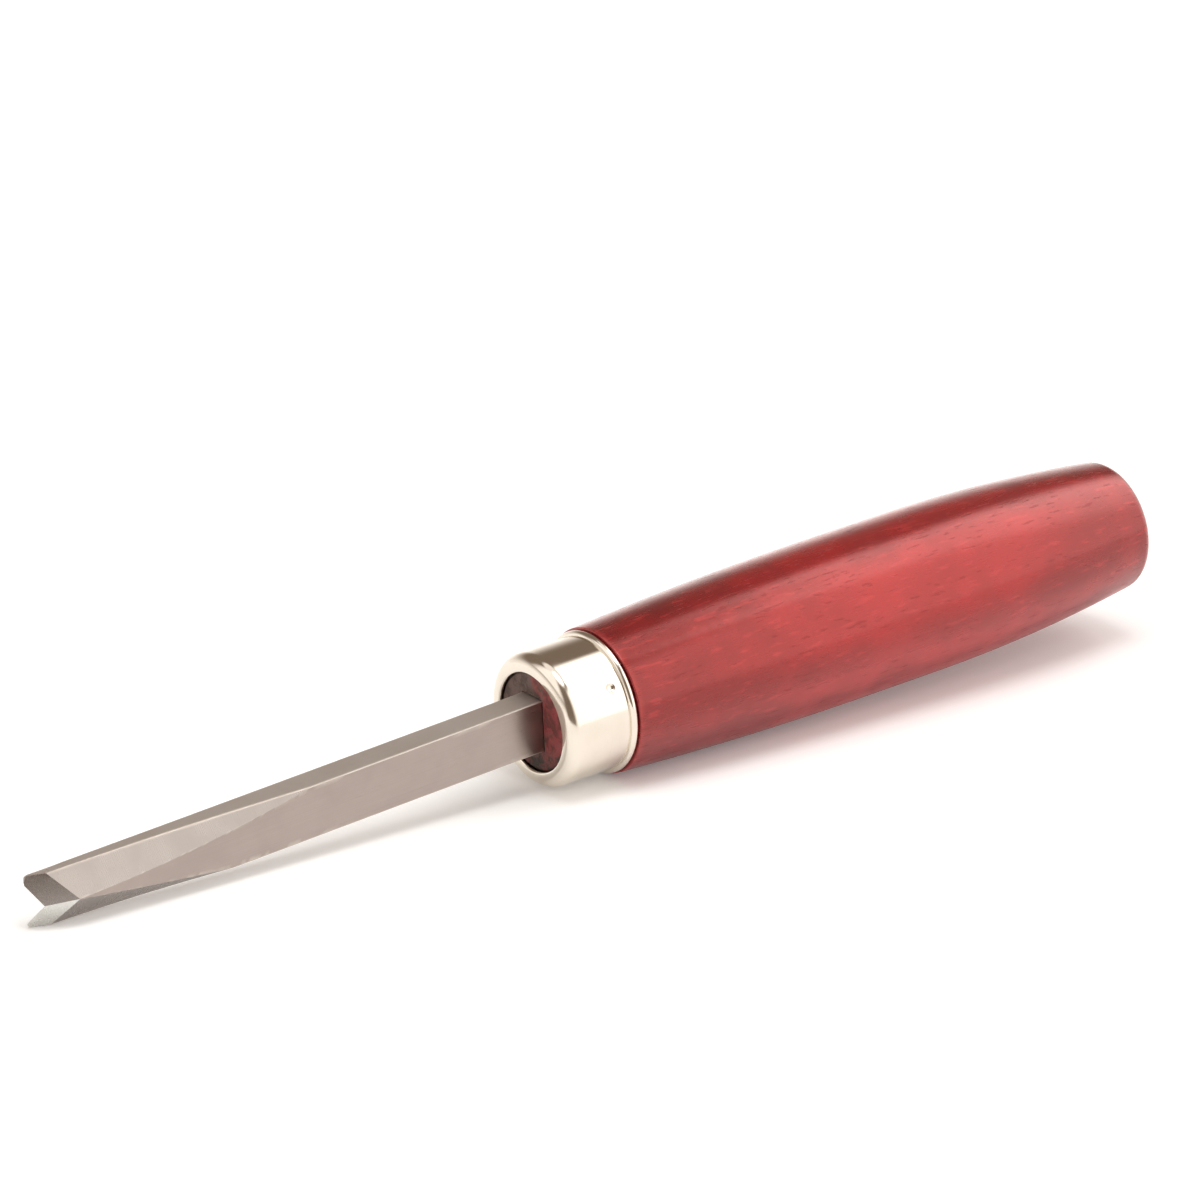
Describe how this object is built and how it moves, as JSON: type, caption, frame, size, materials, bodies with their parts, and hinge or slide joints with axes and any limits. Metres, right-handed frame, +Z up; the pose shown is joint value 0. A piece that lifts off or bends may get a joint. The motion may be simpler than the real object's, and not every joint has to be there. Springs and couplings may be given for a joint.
{
  "type": "carving v-tool",
  "caption": "Wood carver's V-tool: a flat steel bar ground to a V-shaped cutting end, set by its tang in a turned red wooden handle behind a bright metal ferrule.",
  "frame": {"origin": "on the bench under the middle of the tool's length, as the tool lies on its cutting end and the front of its handle", "axes": "+X from the cutting end to the butt, +Z up from the bench, -Y out of the flat back of the blade"},
  "size_m": [0.1575, 0.0198, 0.0215],
  "materials": {
    "blade_steel": "ground and polished steel with fine grinding lines",
    "ferrule_plate": "bright plated sheet metal, polished",
    "handle_wood": "close-grained wood, stained red and lacquered to a satin sheen"
  },
  "bodies": {
    "root": {"blade": "blade_steel", "ferrule": "ferrule_plate", "handle": "handle_wood"}
  },
  "joints": []
}
